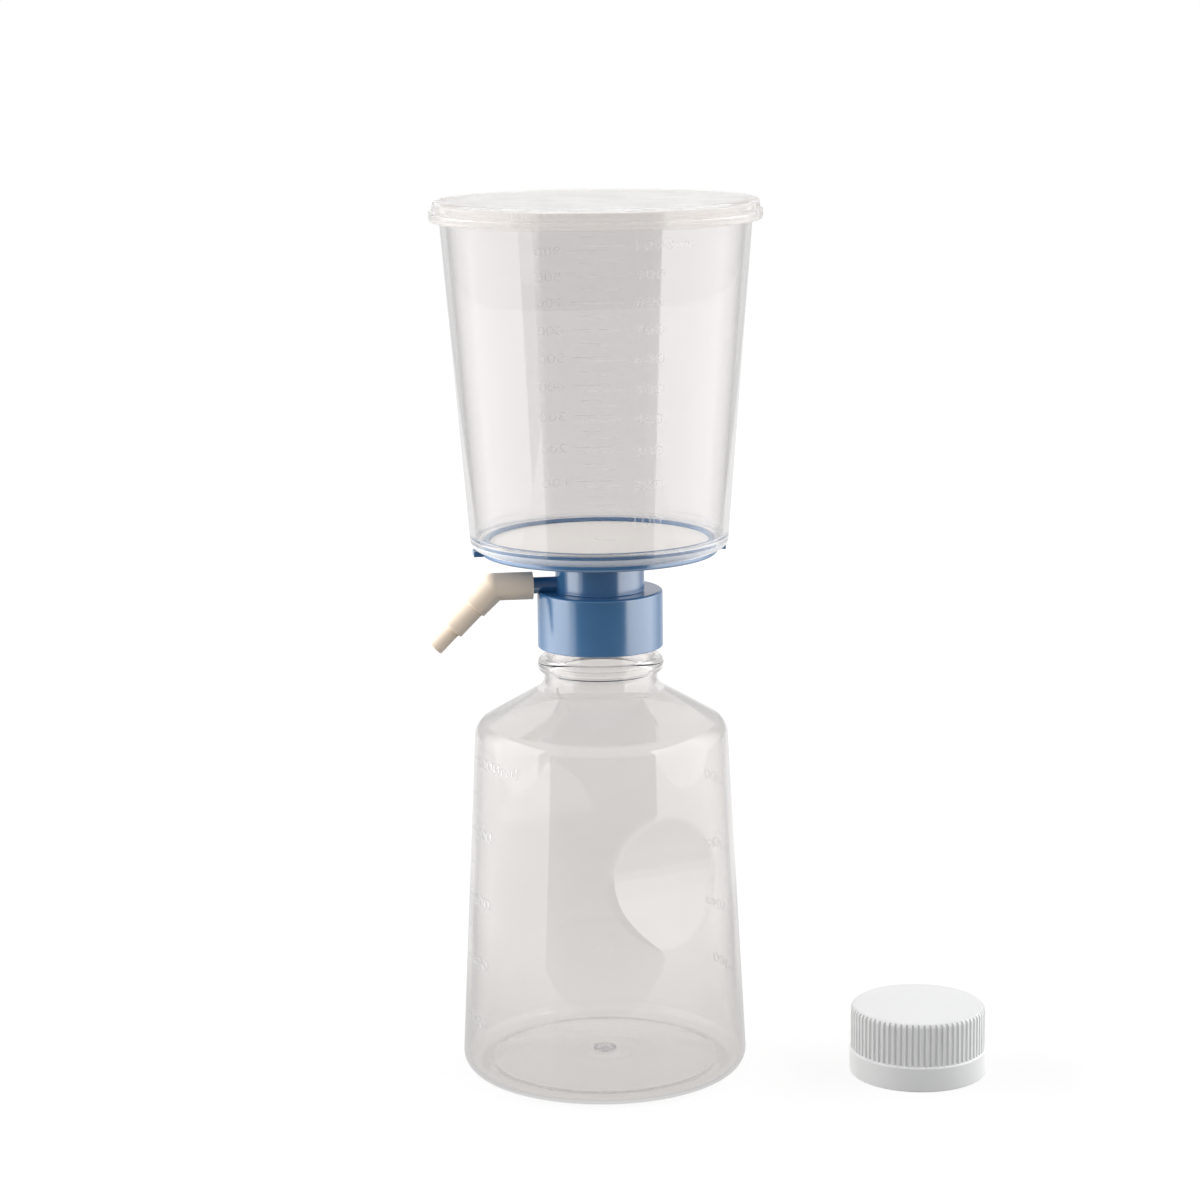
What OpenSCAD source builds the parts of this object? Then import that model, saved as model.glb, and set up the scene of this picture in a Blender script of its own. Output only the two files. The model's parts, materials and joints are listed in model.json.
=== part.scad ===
// Vacuum filtration unit, 1000 ml. A graduated funnel stands on a membrane and its drain base,
// and the base screws onto a graduated receiver bottle. A stepped hose adapter turns on the
// vacuum port, and the bottle's own storage cap lies beside it.
// Millimetres. Origin: centre of the bottle's base on the table. +Z up, vacuum port towards -X.

/* [Bottle] */
// Radius of the side wall, carried down to the table
bottle_base_r = 56.25; // [50:0.05:62]
// Radius of the side wall where it meets the shoulder
bottle_top_r = 49.05; // [44:0.05:52]
// Height at which side wall and shoulder meet
shoulder_z = 138.3; // [110:0.1:170]
// Slope of the shoulder, from horizontal
shoulder_angle = 30; // [20:1:40]
// Thickness of the blown wall
bottle_wall = 1.6; // [1:0.1:2.5]
// Radius of the heel, between base and side wall
heel_fillet = 6.5; // [3:0.1:8]
// Radius of the bend between side wall and shoulder
shoulder_fillet = 7; // [3:0.5:9]
// Distances in from the side wall at which the step inside the standing ring ends and begins
push_up_step = [12.25, 7.75]; // [7:0.25:20]
// Height of the raised base at that step and at its centre
push_up_rise = [1.7, 4]; // [1:0.1:6]

/* [Finger notches] */
// Height of the crease in each notch
notch_z = 90; // [80:1:100]
// Depth of the crease below the side wall
notch_depth = 5.5; // [3:0.1:8]
// Lean of the two flat faces from vertical
notch_lean = 12.75; // [9:0.25:18]
// Radius along the crease
notch_fillet = 6; // [2:0.5:12]
// Direction of the first notch, from +X
notch_angle = -68; // [-90:1:-45]

/* [Bottle neck] */
// Radius of the bore
neck_bore_r = 19.1; // [15:0.05:23]
// Thickness of the threaded wall, at the root of the thread
neck_wall = 1.8; // [1.4:0.05:2.4]
// Height of the thread
thread_h = 1.05; // [0.8:0.05:1.3]
// Step from the threaded part out to the neck under its bead
neck_step = 1; // [0.6:0.05:1.6]
// Length of the neck, from the shoulder to the mouth
neck_h = 33.6; // [28:0.1:40]
// Radius of the bend between shoulder and neck
neck_fillet = 6; // [2:0.5:8]
// How far the bead stands out from the neck
bead_out = 2.55; // [1.5:0.05:3]
// Half the height of the bead
bead_round = 3; // [2:0.1:3.5]
// Distance of the bead below the mouth
bead_drop = 25.5; // [24:0.1:27]

/* [Collar and stem] */
// Thickness of the screw collar's side
collar_wall = 1.85; // [1.4:0.05:3]
// Height of the screw collar
collar_h = 22.1; // [18:0.1:23]
// Thickness of the collar's roof
collar_roof = 1.9; // [1.4:0.1:3]
// Thickness of the seal between the roof and the bottle's mouth
seal_t = 1.6; // [1:0.1:3]
// How far the seal reaches in past the bottle's bore
seal_lap = 1.6; // [0.5:0.1:3]
// Outer radius of the stem between collar and drain plate
stem_r = 17.2; // [14:0.1:19]
// Thickness of the stem's wall
stem_wall = 1.8; // [1.2:0.1:3]
// Height of the stem above the collar
stem_h = 14.7; // [12:0.1:20]

/* [Drain plate] */
// Radius of the plate's rim
plate_r = 45.7; // [38:0.1:56]
// Thickness of the rim
plate_t = 3.2; // [2.4:0.1:5]
// Height of the raised ring round the membrane
ring_h = 3.1; // [2:0.1:4]
// Width of that ring
ring_w = 1.9; // [1.2:0.1:3]
// Step from the rim's edge to the ring
ring_step = 1.2; // [0.8:0.1:2]
// Fall of the drain floor, at its edge and at its centre, below the rim's top
drain_fall = [0.6, 1.5]; // [0.2:0.1:1.8]
// Height of the membrane's seat above the rim's top
seat_rise = 1.4; // [0.8:0.1:2]
// Width of a support rib
rib_w = 1; // [0.6:0.1:1.6]
// Number of ribs in the first tier; each outer tier fills the gaps between those inside it
rib_count = 12; // [8:1:16]
// Radii at which the three tiers of ribs begin
rib_start = [7, 15, 27]; // [6:1:30]
// Bore and outer radius of the drip spout
spout = [3, 4.5]; // [2:0.1:6]
// Reach of the spout below the bottle's mouth
spout_reach = 9; // [4:0.5:12]
// How far the two grip tabs stand out, their width and their height
tab = [3.1, 7, 2.1]; // [1:0.1:10]

/* [Membrane] */
// Thickness of the membrane
membrane_t = 0.3; // [0.15:0.05:0.5]

/* [Vacuum port] */
// Radius of the port's bore
port_bore_r = 2; // [1.6:0.05:2.4]
// Thickness of the port tube's wall
port_wall = 1.2; // [0.8:0.05:1.6]
// Length of the port outside the collar
port_l = 13.75; // [11:0.25:20]
// Height of the port's axis above the collar
port_rise = 2.3; // [2:0.1:4]
// Length of the cotton plug inside the port
plug_l = 9; // [5:0.5:12]

/* [Funnel] */
// Height of the funnel
funnel_h = 131.4; // [100:0.1:160]
// How far its wall stands out from the drain plate, at the bottom
funnel_step = 3.8; // [3:0.1:8]
// Outward lean of the wall
funnel_draft = 4.44; // [2:0.01:8]
// Thickness of the wall
funnel_wall = 2.2; // [1.5:0.1:3]
// Thickness of the floor round the drain plate
funnel_floor = 2; // [1.5:0.1:3]
// Depth of the skirt that drops round the plate's rim
funnel_skirt = 0.9; // [0.5:0.1:1.2]
// Radius of the bottom edge
funnel_fillet = 3.2; // [1.5:0.1:3.4]
// Width, thickness and drop below the lip of the rim flange
flange = [2.1, 1.8, 3.6]; // [1.5:0.1:4]

/* [Lid] */
// Thickness of the lid's top
lid_t = 1.6; // [1.2:0.1:2.5]
// Thickness of the lid's sides
lid_wall = 1.2; // [0.9:0.1:1.8]
// Depth of the skirt below the funnel's lip
lid_skirt = 6.4; // [5:0.1:9]
// Radius of the top edge
lid_fillet = 1.4; // [0.6:0.1:1.5]

/* [Hose adapter] */
// Thickness of the socket's wall
socket_wall = 2.1; // [1.6:0.05:3]
// Distance of the socket's open end from the collar
socket_gap = 1.95; // [1:0.05:3]
// Distance of the bend from the port's open end
bend_gap = 3; // [2.5:0.5:10]
// How far the ball at the bend stands out from the tubes that meet in it
bend_swell = 0.05; // [0.03:0.01:0.5]
// Angle of the arm below the port
arm_angle = 45; // [30:1:60]
// Radii of the arm's three steps at their lower ends
step_r = [5.05, 4.2, 3.15]; // [2.6:0.05:6]
// Lengths of the three steps
step_l = [11.1, 11.8, 10]; // [6:0.1:15]
// Radius of the air passage
passage_r = 1.9; // [1.2:0.1:2.2]

/* [Storage cap] */
// Place of the cap on the table
cap_at = [120, -30]; // [-150:5:150]
// Height of the cap
cap_h = 27; // [25.5:0.1:28]
// Thickness of the cap's side, over the ribs
cap_wall = 1.3; // [1:0.05:2.5]
// How far the smooth band stands out from the ribs
cap_band_out = 0.4; // [0:0.05:1.5]
// Height of the smooth band
cap_band_h = 10; // [8:0.1:11]
// Number of grip ribs
cap_ribs = 72; // [48:4:90]
// Depth of the grooves between the ribs
cap_groove = 0.9; // [0.5:0.1:1.2]
// Thickness of the cap's top
cap_top = 1.8; // [1.4:0.1:3]
// Radius of the top edge
cap_round = 2; // [1:0.1:3]
// Length and wall of the plug ring that fits the bottle's bore
cap_plug = [4, 1.2]; // [0.8:0.1:6]

/* [Clearances] */
// Running clearance of the adapter on the port
port_fit = 0.05; // [0.03:0.01:0.1]
// Clearance round pieces that locate in or on one another
seat_fit = 0.2; // [0.1:0.05:0.4]
// Clearance of the lid round the funnel's flange
lid_fit = 0.6; // [0.4:0.1:1]
// Clearance of collar and cap round the neck's bead and thread
thread_fit = 0.45; // [0.3:0.05:0.6]

/* [Hidden] */
$fn = 96;
arc_step = 9;                  // degrees between the points of a rounded corner
soft_edge = 0.4;               // radius of a moulded edge that has no size of its own

// radii of the bottle's neck and of what screws onto it
thread_root_r = neck_bore_r + neck_wall;
neck_r = thread_root_r + neck_step;
bead_r = neck_r + bead_out;
collar_bore_r = thread_root_r + thread_h + thread_fit;
collar_r = collar_bore_r + collar_wall;
cap_rib_r = bead_r + thread_fit + cap_wall;
cap_band_r = cap_rib_r + cap_band_out;

// heights, stacked from the table upwards
neck_z = shoulder_z + (bottle_top_r - neck_r) * tan(shoulder_angle);
mouth_z = neck_z + neck_h;
roof_z = mouth_z + seal_t;
collar_top_z = roof_z + collar_roof;
port_z = collar_top_z + port_rise;
plate_z = collar_top_z + stem_h;
rim_z = plate_z + plate_t;
ring_z = rim_z + ring_h;
seat_z = rim_z + seat_rise;
skirt_z = rim_z - funnel_skirt;
lip_z = skirt_z + funnel_h;

// radii and places of the other pieces, which follow from the fits
ring_r = plate_r - ring_step;
ring_in_r = ring_r - ring_w;
stem_bore_r = stem_r - stem_wall;
port_r = port_bore_r + port_wall;
port_end = collar_r + port_l;
plug_x = port_end - seat_fit - plug_l;
socket_r = port_r + port_fit + socket_wall;
socket_x = collar_r + socket_gap;
bend_x = port_end + bend_gap;
funnel_bottom_r = plate_r + funnel_step;
lip_r = funnel_bottom_r + funnel_h * tan(funnel_draft);
flange_z = lip_z - flange[2] - flange[1];
flange_r = funnel_bottom_r + (flange_z - skirt_z) * tan(funnel_draft) + flange[0];
lid_z = lip_z + lid_t;

// ---- outlines ----

function flat(p) = [p[0], p[1]];
function unit(v) = v / norm(v);
function turn(a, b) = (b - a + 540) % 360 - 180;

// Corners [r, z, fillet] to points, each corner rounded by its fillet.
function rounded(p) = [for (i = [0 : len(p) - 1])
    each (i == 0 || i == len(p) - 1 || p[i][2] == 0 ? [flat(p[i])] : fillet(p[i - 1], p[i], p[i + 1]))];

function fillet(a, b, c) = let (
        u = unit(flat(a) - flat(b)),
        v = unit(flat(c) - flat(b)),
        half = acos(u * v) / 2,
        m = flat(b) + unit(u + v) * b[2] / sin(half),
        p = flat(b) + u * b[2] / tan(half) - m,
        q = flat(b) + v * b[2] / tan(half) - m,
        from = atan2(p[1], p[0]),
        sweep = turn(from, atan2(q[1], q[0])),
        n = ceil(abs(sweep) / arc_step))
    [for (k = [0 : n]) m + b[2] * [cos(from + sweep * k / n), sin(from + sweep * k / n)]];

// The same corners moved inwards by a wall, which may differ from edge to edge. The outline
// runs from the axis outwards and up, and its last edge is vertical.
function inward(a, b) = let (d = unit(flat(b) - flat(a))) [-d[1], d[0]];

function inset(p, wall) = [for (i = [0 : len(p) - 1])
    i == 0 ? [0, p[0][1] + wall[0] / inward(p[0], p[1])[1], 0]
    : i == len(p) - 1 ? [p[i][0] - wall[i - 1], p[i][1], 0]
    : inset_corner(p[i - 1], p[i], p[i + 1], wall[i - 1], wall[i])];

function inset_corner(a, b, c, s, t) = let (
        m = inward(a, b),
        n = inward(b, c),
        k = m * n,
        at = flat(b) + (s * (m - k * n) + t * (n - k * m)) / (1 - k * k),
        outside_turn = m[0] * n[1] - m[1] * n[0] > 0)
    [at[0], at[1], b[2] == 0 ? 0 : outside_turn ? max(b[2] - t, soft_edge) : b[2] + s];

module turned(corners) rotate_extrude() polygon(rounded(corners));

// ---- bottle ----

// Side of the bottle, from the middle of its base to the top of its neck.
bottle_side = [
    [0, push_up_rise[1], 0],
    [bottle_base_r - push_up_step[0], push_up_rise[0], 0],
    [bottle_base_r - push_up_step[1], 0, 0],
    [bottle_base_r, 0, heel_fillet],
    [bottle_top_r, shoulder_z, shoulder_fillet],
    [neck_r, neck_z, neck_fillet],
    [neck_r, mouth_z - bead_drop, 0]];
bottle_walls = [for (i = [1 : 5]) bottle_wall];

function wall_r(z) = bottle_base_r + (bottle_top_r - bottle_base_r) * z / shoulder_z;

// One notch: two flat faces that lean outwards from a rounded crease, set deeper by the wall.
module finger_notch(deeper) {
    tangent = 90 - notch_lean;
    reach = bottle_base_r;
    middle = wall_r(notch_z) - notch_depth + notch_fillet / sin(tangent);
    face = (notch_fillet + deeper) * [-sin(tangent), cos(tangent)];
    run = reach * [cos(tangent), sin(tangent)];
    translate([middle, reach, notch_z]) rotate([90, 0, 0])
        linear_extrude(2 * reach) {
            circle(notch_fillet + deeper);
            polygon([face, face + run, [(face + run)[0], -(face + run)[1]], [face[0], -face[1]]]);
        }
}

module notched(deeper) difference() {
    children();
    for (a = [0, 180]) rotate(notch_angle + a) finger_notch(deeper);
}

module bottle() color("Gainsboro", 0.35) {
    inner_side = inset(bottle_side, concat(bottle_walls, neck_r - neck_bore_r));
    bead_z = mouth_z - bead_drop;
    difference() {
        union() {
            notched(0) turned(concat(bottle_side, [[0, bead_z, 0]]));
            translate([0, 0, bead_z]) rotate_extrude() translate([bead_r - bead_round, 0]) circle(bead_round);
            turned([[0, bead_z, 0], [thread_root_r, bead_z, 0],
                [thread_root_r, mouth_z, soft_edge], [0, mouth_z, 0]]);
        }
        notched(bottle_wall) turned(concat(inner_side, [[0, bead_z, 0]]));
        translate([0, 0, bead_z - 1]) cylinder(r = neck_bore_r, h = bead_drop + 2);
    }
}

// ---- filter base ----

// Collar, stem, drain plate and spout in one outline, from the spout's bore round to the drain.
base_section = [
    [spout[0], mouth_z - spout_reach, 0],
    [spout[1], mouth_z - spout_reach, 0],
    [spout[1], plate_z, 0],
    [stem_bore_r, plate_z, 0],
    [stem_bore_r, roof_z, 0],
    [collar_bore_r, roof_z, 0],
    [collar_bore_r, collar_top_z - collar_h, 0],
    [collar_r, collar_top_z - collar_h, soft_edge],
    [collar_r, collar_top_z, 1],
    [stem_r, collar_top_z, soft_edge],
    [stem_r, plate_z, soft_edge],
    [plate_r, plate_z, plate_t / 3],
    [plate_r, rim_z, 0],
    [ring_r, rim_z, 0],
    [ring_r, ring_z, soft_edge],
    [ring_in_r, ring_z, soft_edge],
    [ring_in_r, rim_z - drain_fall[0], 0],
    [2 * spout[0], rim_z - drain_fall[1], 0],
    [spout[0], rim_z - drain_fall[1] - spout[0] / 3, 0]];

// Radial ribs under the membrane. A tier starts where the gaps of the tiers inside it grow wide.
module support_ribs() {
    foot = plate_z + plate_t / 4;
    for (tier = [0 : 2]) {
        count = tier == 2 ? 2 * rib_count : rib_count;
        first = tier == 0 ? 0 : 180 / count;
        for (i = [0 : count - 1]) rotate(first + 360 * i / count)
            translate([rib_start[tier], -rib_w / 2, foot])
                cube([ring_in_r + ring_w / 2 - rib_start[tier], rib_w, seat_z - foot]);
    }
}

// A rod along the vacuum port, between two distances from the unit's axis.
module port_rod(r, from, to) translate([-to, 0, port_z]) rotate([0, 90, 0]) cylinder(r = r, h = to - from);

module filter_base() color("SteelBlue") difference() {
    union() {
        turned(base_section);
        support_ribs();
        port_rod(port_r, stem_bore_r + stem_wall / 2, port_end);
        for (a = [0, 180]) rotate(a) translate([ring_in_r, -tab[1] / 2, plate_z])
            cube([plate_r + tab[0] - ring_in_r, tab[1], tab[2]]);
    }
    port_rod(port_bore_r, stem_bore_r - stem_wall, port_end + 1);
}

module port_plug() color("White")
    port_rod(port_bore_r - port_fit, plug_x, plug_x + plug_l);

module mouth_seal() color("WhiteSmoke") translate([0, 0, mouth_z]) difference() {
    cylinder(r = collar_bore_r - seat_fit, h = seal_t);
    translate([0, 0, -1]) cylinder(r = neck_bore_r - seal_lap, h = seal_t + 2);
}

module membrane() color("Linen") translate([0, 0, seat_z])
    cylinder(r = ring_in_r - seat_fit, h = membrane_t);

// ---- funnel and lid ----

module funnel() color("Gainsboro", 0.35) {
    floor_z = rim_z + funnel_floor;
    inside_r = funnel_bottom_r - funnel_wall;
    turned([
        [ring_r + seat_fit, rim_z, 0],
        [plate_r + seat_fit, rim_z, 0],
        [plate_r + seat_fit, skirt_z, 0],
        [funnel_bottom_r, skirt_z, funnel_fillet],
        [flange_r - flange[0], flange_z, 0],
        [flange_r, flange_z, soft_edge],
        [flange_r, flange_z + flange[1], soft_edge],
        [lip_r, flange_z + flange[1], 0],
        [lip_r, lip_z, soft_edge],
        [lip_r - funnel_wall, lip_z, soft_edge],
        [inside_r + (floor_z - skirt_z) * tan(funnel_draft), floor_z, funnel_wall / 2],
        [ring_r + seat_fit, floor_z, 0]]);
}

module lid() color("GhostWhite", 0.5) {
    skirt_r = flange_r + lid_fit;
    ledge_z = flange_z + flange[1] + lid_fit / 2;
    turned([
        [0, lip_z, 0],
        [skirt_r - lid_wall, lip_z, 0],
        [skirt_r - lid_wall, ledge_z, 0],
        [skirt_r, ledge_z, 0],
        [skirt_r, lip_z - lid_skirt, 0],
        [skirt_r + lid_wall / 2, lip_z - lid_skirt, 0],
        [skirt_r + lid_wall, lip_z - lid_skirt + lid_wall, 0],
        [skirt_r + lid_wall, ledge_z + lid_wall, soft_edge],
        [skirt_r, ledge_z + lid_wall, 0],
        [skirt_r, lid_z, lid_fillet],
        [0, lid_z, 0]]);
}

// ---- hose adapter ----

module level_tube(r, from, to) translate([from, 0, 0]) rotate([0, 90, 0]) cylinder(r = r, h = to - from);

module along_arm() rotate([0, 270 - arm_angle, 0]) children();

// A socket on the port, a bend, and an arm whose steps fit three sizes of hose.
module hose_adapter() color("AntiqueWhite") translate([-bend_x, 0, port_z]) {
    mouth = bend_x - socket_x;
    first = step_l[0];
    second = first + step_l[1];
    tip = second + step_l[2];
    difference() {
        union() {
            level_tube(socket_r, 0, mouth);
            sphere(socket_r + bend_swell);
            along_arm() turned([
                [0, 0, 0],
                [socket_r, 0, 0],
                [step_r[0], first, soft_edge],
                [step_r[1], first, 0],
                [step_r[1], second, soft_edge],
                [step_r[2], second, 0],
                [step_r[2], tip, soft_edge],
                [0, tip, 0]]);
        }
        level_tube(port_r + port_fit, bend_x - port_end - seat_fit, mouth + 1);
        level_tube(passage_r, 0, mouth);
        sphere(passage_r + bend_swell);
        along_arm() cylinder(r = passage_r, h = tip + 1);
    }
}

// ---- storage cap ----

module cap_grip() {
    pitch = 360 / cap_ribs;
    valley_r = cap_rib_r - cap_groove;
    flank = [[-0.34, valley_r], [-0.22, cap_rib_r], [0.22, cap_rib_r], [0.34, valley_r]];
    linear_extrude(cap_h)
        polygon([for (i = [0 : cap_ribs - 1]) for (c = flank)
            c[1] * [cos((i + c[0]) * pitch), sin((i + c[0]) * pitch)]]);
}

module storage_cap() color("White") translate([cap_at[0], cap_at[1], 0]) {
    ceiling = cap_h - cap_top;
    skirt_r = bead_r + thread_fit;
    plug_r = neck_bore_r - seat_fit;
    difference() {
        union() {
            turned([[0, 0, 0], [cap_band_r, 0, soft_edge], [cap_band_r, cap_band_h, 1], [0, cap_band_h, 0]]);
            intersection() {
                cap_grip();
                rotate_extrude() {
                    square([cap_rib_r, cap_h - cap_round]);
                    square([cap_rib_r - cap_round, cap_h]);
                    translate([cap_rib_r - cap_round, cap_h - cap_round]) circle(cap_round);
                }
            }
        }
        turned([
            [0, -1, 0],
            [skirt_r, -1, 0],
            [skirt_r, cap_band_h - 3, 0],
            [collar_bore_r, cap_band_h - 0.5, 0],
            [collar_bore_r, ceiling, 0],
            [plug_r, ceiling, 0],
            [plug_r, ceiling - cap_plug[0], 0],
            [plug_r - cap_plug[1], ceiling - cap_plug[0], 0],
            [plug_r - cap_plug[1], ceiling, 0],
            [0, ceiling, 0]]);
    }
}

bottle();
filter_base();
mouth_seal();
membrane();
funnel();
lid();
hose_adapter();
port_plug();
storage_cap();
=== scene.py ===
import json
import math

import bmesh
import bpy
from mathutils import Matrix, Vector

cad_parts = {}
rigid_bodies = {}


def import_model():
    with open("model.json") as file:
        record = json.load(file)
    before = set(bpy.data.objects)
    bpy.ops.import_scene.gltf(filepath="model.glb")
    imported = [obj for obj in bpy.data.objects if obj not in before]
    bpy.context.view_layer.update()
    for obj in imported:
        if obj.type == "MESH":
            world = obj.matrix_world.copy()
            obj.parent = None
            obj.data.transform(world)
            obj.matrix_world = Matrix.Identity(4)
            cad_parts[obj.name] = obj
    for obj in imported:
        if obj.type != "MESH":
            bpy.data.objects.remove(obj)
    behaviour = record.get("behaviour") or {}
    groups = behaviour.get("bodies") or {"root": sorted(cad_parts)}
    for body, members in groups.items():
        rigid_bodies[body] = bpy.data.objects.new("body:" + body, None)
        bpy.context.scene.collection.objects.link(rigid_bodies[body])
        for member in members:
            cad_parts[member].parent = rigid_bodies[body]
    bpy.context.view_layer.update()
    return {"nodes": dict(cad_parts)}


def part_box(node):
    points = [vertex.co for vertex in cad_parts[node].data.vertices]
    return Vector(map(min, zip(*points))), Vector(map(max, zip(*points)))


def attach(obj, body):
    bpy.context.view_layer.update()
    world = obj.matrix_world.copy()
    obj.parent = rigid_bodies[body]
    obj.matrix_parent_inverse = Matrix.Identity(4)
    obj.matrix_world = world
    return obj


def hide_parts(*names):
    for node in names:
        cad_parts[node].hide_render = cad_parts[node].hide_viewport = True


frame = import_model()
mm = 0.001
same = 0.001 * mm  # points closer than this are one point


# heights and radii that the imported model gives

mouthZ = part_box("bottle")[1].z / mm
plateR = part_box("filter_base")[1].y / mm
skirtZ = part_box("funnel")[0].z / mm
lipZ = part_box("funnel")[1].z / mm
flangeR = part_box("funnel")[1].x / mm
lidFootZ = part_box("lid")[0].z / mm
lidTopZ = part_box("lid")[1].z / mm


# modelling helpers

# degrees that one piece of a rounded corner turns, its fewest pieces, and the degrees that make a sharp edge
roundness = {"pieceTurn": 9, "fewest": 3, "sharpFrom": 32}


def clearSelection():
    bpy.ops.object.select_all(action="DESELECT")


def focus(piece):
    clearSelection()
    piece.select_set(True)
    bpy.context.view_layer.objects.active = piece


def place(corner):
    # a corner is (radius, height, fillet) in millimetres, and the outlines stand in the plane y = 0
    return Vector((corner[0], 0, corner[1])) * mm


def pickPoints(piece, test):
    # selects, in edit mode, the points that pass the test
    mesh = bmesh.from_edit_mesh(piece.data)
    mesh.select_mode = {"VERT"}
    for point in mesh.verts:
        point.select = test(point)
    mesh.select_flush_mode()
    bmesh.update_edit_mesh(piece.data)


def chain(name, corners):
    # a plane merged to one point, and from there one extrusion for each corner
    clearSelection()
    bpy.ops.mesh.primitive_plane_add(size=mm)
    piece = bpy.context.object
    piece.name = name
    bpy.ops.object.mode_set(mode="EDIT")
    bpy.ops.mesh.merge(type="CENTER")
    bpy.ops.transform.translate(value=place(corners[0]))
    for here, there in zip(corners, corners[1:]):
        bpy.ops.mesh.extrude_vertices_move(TRANSFORM_OT_translate={"value": place(there) - place(here)})
    return piece


def roundCorners(piece, corners, closed):
    # each corner that has a fillet is rounded to it
    count = len(corners)
    for i, corner in enumerate(corners):
        if len(corner) < 3 or (not closed and i in (0, count - 1)):
            continue
        here = place(corner)
        back = (place(corners[i - 1]) - here).normalized()
        ahead = (place(corners[(i + 1) % count]) - here).normalized()
        half = back.angle(ahead) / 2
        turn = 180 - 2 * math.degrees(half)
        pieces = max(roundness["fewest"], math.ceil(turn / roundness["pieceTurn"]))
        pickPoints(piece, lambda p: (p.co - here).length < same)
        bpy.ops.mesh.bevel(offset=corner[2] * mm / math.tan(half), affect="VERTICES", segments=pieces)


def lathe(name, corners, closed=True, steps=256, split=()):
    # an outline turned round the z axis; split is (corner, cuts) for its edges that need more points
    piece = chain(name, corners)
    if closed:
        start, end = place(corners[0]), place(corners[-1])
        pickPoints(piece, lambda p: min((p.co - start).length, (p.co - end).length) < same)
        bpy.ops.mesh.edge_face_add()
    roundCorners(piece, corners, closed)
    for corner, cuts in split:
        here, there = place(corners[corner]), place(corners[corner + 1])
        line = (there - here).normalized()
        pickPoints(piece, lambda p: (p.co - here).cross(line).length < 2 * same
                   and -same < (p.co - here).dot(line) < (there - here).length + same)
        bpy.ops.mesh.subdivide(number_cuts=cuts)
    bpy.ops.mesh.select_all(action="SELECT")
    bpy.ops.mesh.spin(steps=steps, angle=math.tau, center=(0, 0, 0), axis=(0, 0, 1))
    bpy.ops.mesh.select_all(action="SELECT")
    bpy.ops.mesh.remove_doubles(threshold=same)
    bpy.ops.mesh.normals_make_consistent(inside=False)
    bpy.ops.object.mode_set(mode="OBJECT")
    return piece


def applyModifiers(piece):
    focus(piece)
    for modifier in list(piece.modifiers):
        bpy.ops.object.modifier_apply(modifier=modifier.name)


def smoothFinish(piece):
    # soft shading, with the wide faces keeping their own direction
    focus(piece)
    bpy.ops.object.shade_smooth_by_angle(angle=math.radians(roundness["sharpFrom"]))
    bpy.ops.object.modifier_add(type="WEIGHTED_NORMAL")
    piece.modifiers[-1].keep_sharp = True
    applyModifiers(piece)


def insetLine(a, b, wall):
    # the straight line from a to b, moved to its left by the wall: a point on it and its direction
    run = Vector((b[0] - a[0], b[1] - a[1])).normalized()
    out = Vector((-run.y, run.x)) * wall
    return Vector((a[0], a[1])) + out, run


def insetCorner(a, b, c, wall, nextWall, least=0.4):
    # the inner wall's corner beside b, with the radius that keeps the wall even
    p, u = insetLine(a, b, wall)
    q, v = insetLine(b, c, nextWall)
    meet = p + u * ((q - p).cross(v) / u.cross(v))
    outside = u.cross(v) > 0
    return meet.x, meet.y, max(b[2] - nextWall, least) if outside else b[2] + wall


def finish(piece, body, slotName, material, *nodes):
    # the piece gets its material and body, and stands for the nodes that it replaces, which are hidden;
    # slotName is not used
    piece.data.materials.clear()
    piece.data.materials.append(material)
    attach(piece, body)
    if nodes:
        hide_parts(*nodes)
    return piece


# materials

def newMaterial(name):
    material = bpy.data.materials.new(name)
    material.use_nodes = True
    tree = material.node_tree
    tree.nodes.clear()
    return material, tree


def newNodes(tree, *kinds):
    # one node of each kind
    return [tree.nodes.new("ShaderNode" + kind) for kind in kinds]


def newMath(tree, operation, value=None):
    step = tree.nodes.new("ShaderNodeMath")
    step.operation = operation
    if value is not None:
        step.inputs[1].default_value = value
    return step


def setRange(ramp, ends, levels=(0, 1)):
    # the two ends of a Map Range node and what they turn into
    ramp.inputs["From Min"].default_value, ramp.inputs["From Max"].default_value = ends
    ramp.inputs["To Min"].default_value, ramp.inputs["To Max"].default_value = levels


def seenRays(tree):
    # 1 for the rays that see the backdrop: the camera's, mirrored ones and those through clear plastic
    path = tree.nodes.new("ShaderNodeLightPath")
    seen, either = newMath(tree, "MAXIMUM"), newMath(tree, "MAXIMUM")
    tree.links.new(path.outputs["Is Camera Ray"], seen.inputs[0])
    tree.links.new(path.outputs["Is Glossy Ray"], seen.inputs[1])
    tree.links.new(seen.outputs[0], either.inputs[0])
    tree.links.new(path.outputs["Is Transmission Ray"], either.inputs[1])
    return either.outputs[0]


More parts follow.
